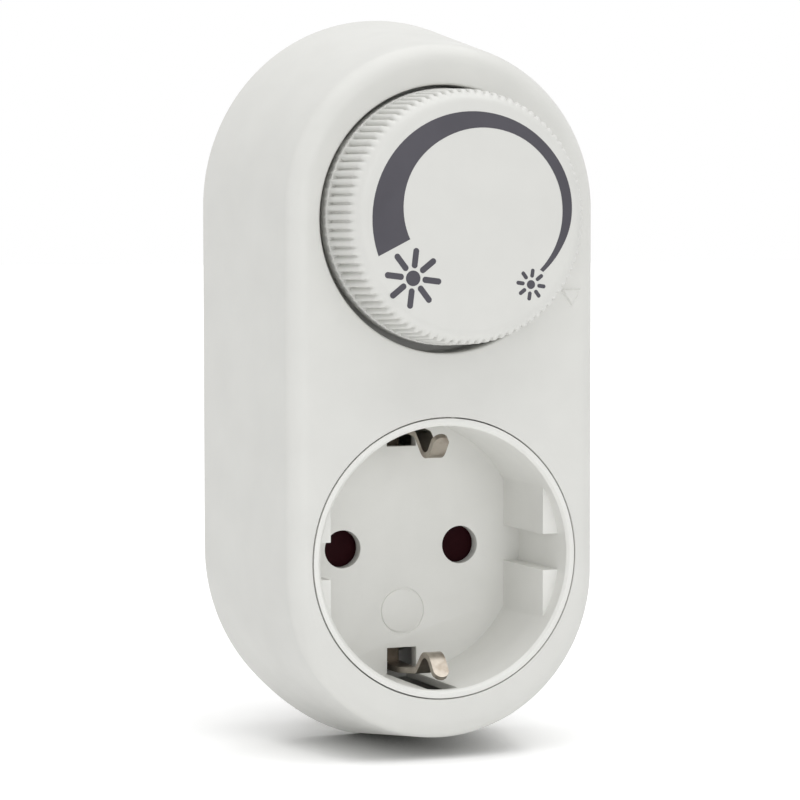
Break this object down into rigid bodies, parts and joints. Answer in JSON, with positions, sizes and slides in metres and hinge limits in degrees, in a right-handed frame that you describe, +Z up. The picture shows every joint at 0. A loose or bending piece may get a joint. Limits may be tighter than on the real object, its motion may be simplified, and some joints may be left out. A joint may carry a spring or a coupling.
{
  "type": "plug-in dimmer",
  "caption": "Plug-in dimmer: drafted obround housing with a ribbed brightness knob above a round earthed socket with sprung clips, and a round-pin plug on its back.",
  "frame": {"origin": "centre of the plug's end face, midway between the two pins", "axes": "+Z up, +Y along the pins into the wall, so the front with the knob and the socket faces -Y; +X to the right of someone who faces the front"},
  "size_m": [0.0568, 0.0724, 0.1079],
  "materials": {
    "housing_plastic": "fine satin moulding",
    "knob_plastic": "satin moulding with printed scale",
    "insert_plastic": "semi-gloss moulding",
    "shutter_plastic": "dark red-brown moulding",
    "carrier_plastic": "dark grey moulding",
    "nickel_plate": "nickel plate",
    "brass": "bare stamped brass",
    "steel": "zinc-plated steel",
    "board": "glass-fibre laminate with lacquer",
    "track_laminate": "brown laminate",
    "black_epoxy": "moulded epoxy",
    "aluminium": "bare rolled sheet",
    "ferrite": "pressed powder core",
    "copper_enamel": "enamelled copper wire",
    "capacitor_box": "moulded box",
    "capacitor_film": "dipped film",
    "glass": "clear tube",
    "diac_body": "lacquered",
    "resistor_body": "lacquered",
    "live_sleeve": "soft insulation",
    "switched_sleeve": "soft insulation"
  },
  "bodies": {
    "housing": {"front_housing": "housing_plastic", "rear_cover": "housing_plastic", "socket_insert": "insert_plastic", "socket_floor": "insert_plastic", "contact_carrier": "carrier_plastic", "earth_strip_top": "nickel_plate", "earth_strip_bottom": "nickel_plate", "earth_bridge": "nickel_plate", "live_pin": "nickel_plate", "neutral_pin": "nickel_plate", "pot_nut": "nickel_plate", "fuse_caps": "nickel_plate", "live_contact": "brass", "neutral_contact": "brass", "pot_bush": "brass", "pot_terminals": "brass", "fuse_clips": "brass", "shutter_spring": "steel", "earth_rivets": "steel", "pot_case": "steel", "triac_screw": "steel", "cover_screws": "steel", "board_screws": "steel", "circuit_board": "board", "pot_track": "track_laminate", "triac": "black_epoxy", "heat_sink": "aluminium", "choke_core": "ferrite", "choke_winding": "copper_enamel", "film_capacitor": "capacitor_box", "timing_capacitor": "capacitor_film", "fuse_tube": "glass", "diac": "diac_body", "resistors": "resistor_body", "live_wire": "live_sleeve", "switched_wire": "switched_sleeve"},
    "dial": {"knob": "knob_plastic", "pot_shaft": "steel", "pot_wiper": "brass"},
    "shutter": {"shutter": "shutter_plastic"}
  },
  "joints": [
    {"name": "knob_turn", "type": "hinge", "parent": "housing", "child": "dial", "pos_m": [0, -0.038, 0.04975], "axis": [0, 1, 0], "range_deg": [-16, 252]},
    {"name": "shutter_turn", "type": "hinge", "parent": "housing", "child": "shutter", "pos_m": [0, -0.02305, 0], "axis": [0, 1, 0], "range_deg": [0, 40], "stiffness_Nm_per_rad": 0.004, "deforming": ["shutter_spring"]}
  ]
}
